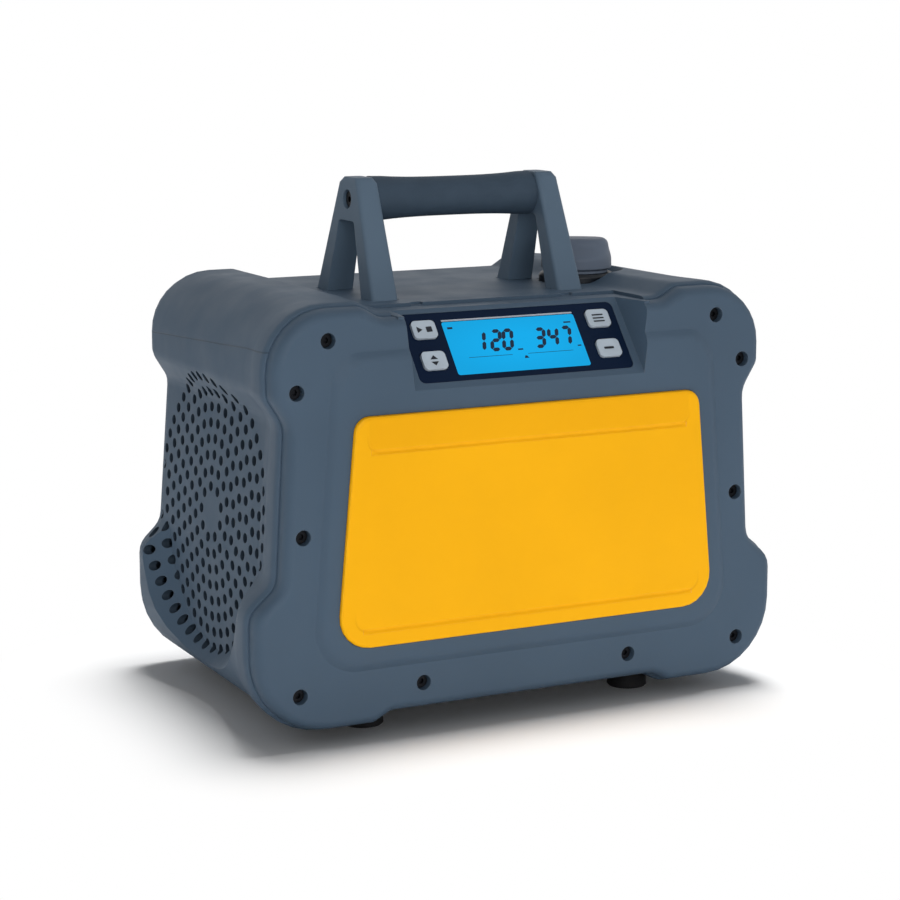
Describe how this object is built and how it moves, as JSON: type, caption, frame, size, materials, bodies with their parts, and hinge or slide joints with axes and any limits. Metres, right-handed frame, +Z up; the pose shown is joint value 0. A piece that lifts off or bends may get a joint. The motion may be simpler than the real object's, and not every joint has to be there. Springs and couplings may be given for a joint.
{
  "type": "refrigerant recovery machine",
  "caption": "Portable refrigerant recovery machine in a lobed moulded case with a carrying handle, tilted display console, valve knob, side fan grille and flare service ports.",
  "frame": {"origin": "middle of the footprint, on the surface that the feet stand on", "axes": "+X to the right of a person who faces the front panel, +Y to the back, +Z up"},
  "size_m": [0.37, 0.238, 0.3334],
  "materials": {
    "case": "fine textured moulded plastic, slate grey",
    "panel": "smooth moulded plastic, yellow",
    "overlay": "printed film, dark navy",
    "window": "clear window",
    "display": "lit blue display",
    "keys": "satin light grey",
    "grip": "soft dark sleeve",
    "black": "matte black",
    "knob": "matte warm grey",
    "rubber": "matte black rubber",
    "steel": "plain steel",
    "brass": "machined brass",
    "copper": "drawn copper tube",
    "alloy": "cast and milled aluminium",
    "motor": "grey painted motor",
    "board": "green circuit board"
  },
  "bodies": {
    "chassis": {"main_housing": "case", "front_cover": "case", "rear_cover": "case", "front_panel": "panel", "front_screws": "black", "rear_screws": "black", "console_overlay": "overlay", "display_window": "window", "display_module": "display", "control_board": "board", "handle_bracket_left": "case", "handle_bracket_right": "case", "handle_grip": "grip", "handle_core": "steel", "apex_screws": "black", "bracket_screws": "steel", "dial_ring": "black", "manifold_block": "brass", "inlet_port": "brass", "outlet_port": "brass", "pressure_sensors": "steel", "compressor": "alloy", "cylinder_heads": "alloy", "drive_motor": "motor", "mounting_plate": "steel", "rubber_mounts": "rubber", "fan_frame": "black", "condenser": "alloy", "condenser_tube": "copper", "condenser_bracket": "steel", "suction_tube": "copper", "crossover_tube": "copper", "discharge_tube": "copper", "liquid_tube": "copper", "power_board": "board", "heat_sink": "alloy", "power_inlet": "black", "switch_frame": "black", "breaker_body": "black", "rubber_feet": "rubber", "foot_screws": "steel"},
    "valve": {"valve_knob": "knob", "valve_stem": "steel"},
    "fan": {"fan_rotor": "black"},
    "key_ul": {"key_upper_left": "keys"},
    "key_ll": {"key_lower_left": "keys"},
    "key_ur": {"key_upper_right": "keys"},
    "key_lr": {"key_lower_right": "keys"},
    "rocker": {"switch_rocker": "black"},
    "reset": {"breaker_button": "black"}
  },
  "joints": [
    {"name": "valve_turn", "type": "hinge", "parent": "chassis", "child": "valve", "pos_m": [0.098, 0, 0.26], "axis": [0, 0, 1], "range_deg": [-135, 135]},
    {"name": "fan_spin", "type": "hinge", "parent": "chassis", "child": "fan", "pos_m": [-0.13, 0.018, 0.1225], "axis": [1, 0, 0], "continuous": true},
    {"name": "key_ul_press", "type": "slide", "parent": "chassis", "child": "key_ul", "axis": [0, 0.7771, -0.6293], "range_m": [0, 0.0012], "stiffness_N_per_m": 400},
    {"name": "key_ll_press", "type": "slide", "parent": "chassis", "child": "key_ll", "axis": [0, 0.7771, -0.6293], "range_m": [0, 0.0012], "stiffness_N_per_m": 400},
    {"name": "key_ur_press", "type": "slide", "parent": "chassis", "child": "key_ur", "axis": [0, 0.7771, -0.6293], "range_m": [0, 0.0012], "stiffness_N_per_m": 400},
    {"name": "key_lr_press", "type": "slide", "parent": "chassis", "child": "key_lr", "axis": [0, 0.7771, -0.6293], "range_m": [0, 0.0012], "stiffness_N_per_m": 400},
    {"name": "rocker_tilt", "type": "hinge", "parent": "chassis", "child": "rocker", "pos_m": [0.098, 0.107, 0.1115], "axis": [1, 0, 0], "range_deg": [0, 14]},
    {"name": "reset_press", "type": "slide", "parent": "chassis", "child": "reset", "axis": [0, -1, 0], "range_m": [0, 0.003], "stiffness_N_per_m": 300}
  ]
}
